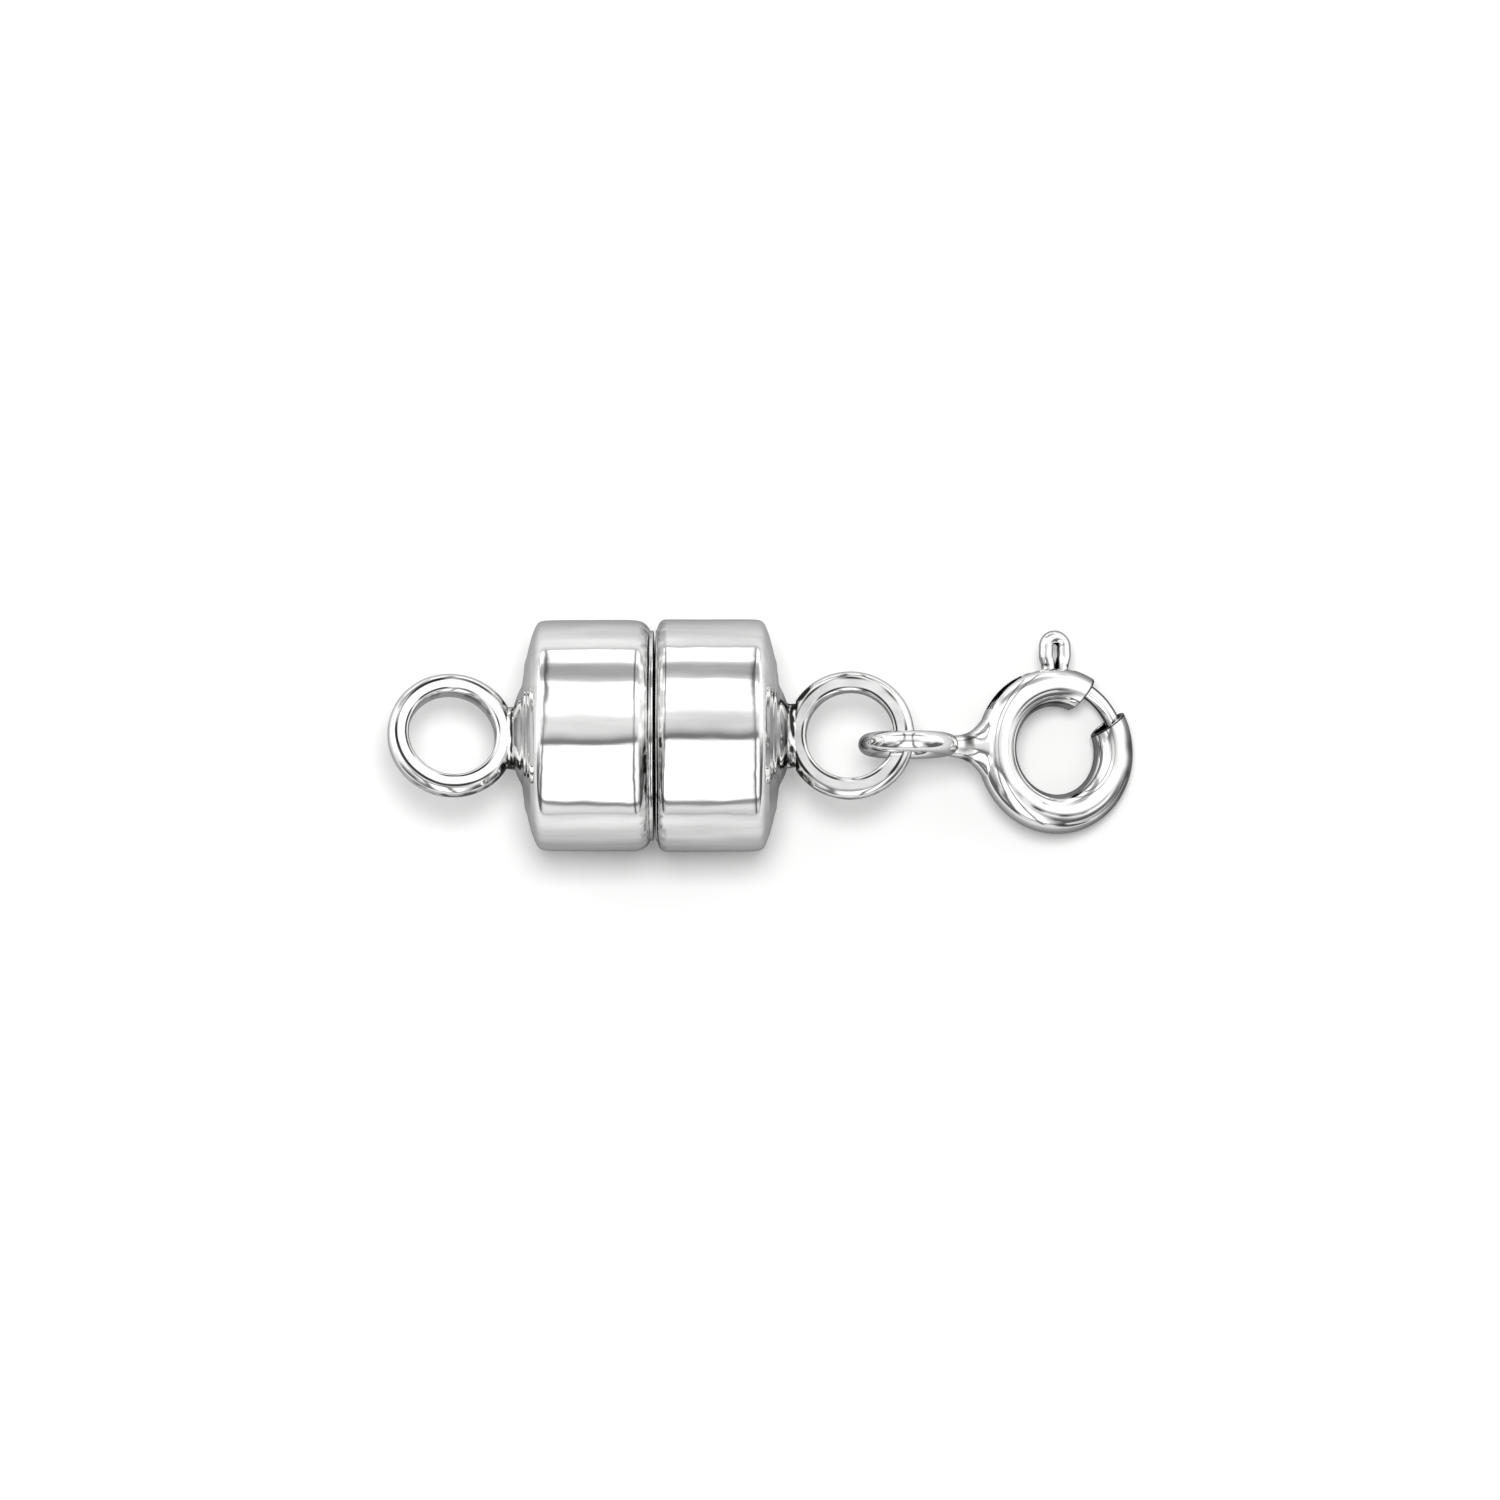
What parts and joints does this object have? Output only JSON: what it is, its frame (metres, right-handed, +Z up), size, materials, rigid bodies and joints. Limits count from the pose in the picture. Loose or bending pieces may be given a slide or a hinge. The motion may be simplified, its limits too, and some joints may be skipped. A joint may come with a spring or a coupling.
{
  "type": "magnetic clasp",
  "caption": "Barrel-shaped magnetic jewellery clasp of two silver cups that snap together, with a soldered end ring on one side and a linked spring ring clasp on the other.",
  "frame": {"origin": "bottom centre of the bounding box, on the surface that the clasp lies on, under the barrel's axis", "axes": "+X along the clasp from the free end ring towards the spring ring, +Y towards the side that the thumb lever points to, +Z up from the surface"},
  "size_m": [0.0227, 0.007, 0.007],
  "materials": {
    "silver": "high polish sterling silver",
    "nickel": "satin nickel plating on a disc magnet"
  },
  "bodies": {
    "spring_half": {"right_cup": "silver", "right_magnet": "nickel", "spring_ring": "silver"},
    "left_magnet_body": {"left_magnet": "nickel"},
    "left_cup_body": {"left_cup": "silver"},
    "tongue_body": {"tongue": "silver"}
  },
  "joints": [
    {"name": "pull_apart", "type": "slide", "parent": "spring_half", "child": "left_magnet_body", "axis": [-1, 0, 0], "range_m": [0, 0.012]},
    {"name": "swivel", "type": "hinge", "parent": "left_magnet_body", "child": "left_cup_body", "pos_m": [-0.00524, 0, 0.0035], "axis": [1, 0, 0], "continuous": true},
    {"name": "thumb_lever", "type": "hinge", "parent": "spring_half", "child": "tongue_body", "pos_m": [0.00895, -0.00025, 0.00135], "axis": [0.3829, 0, 0.9238], "range_deg": [0, 50], "stiffness_Nm_per_rad": 0.000004, "springref_deg": -8.59}
  ]
}
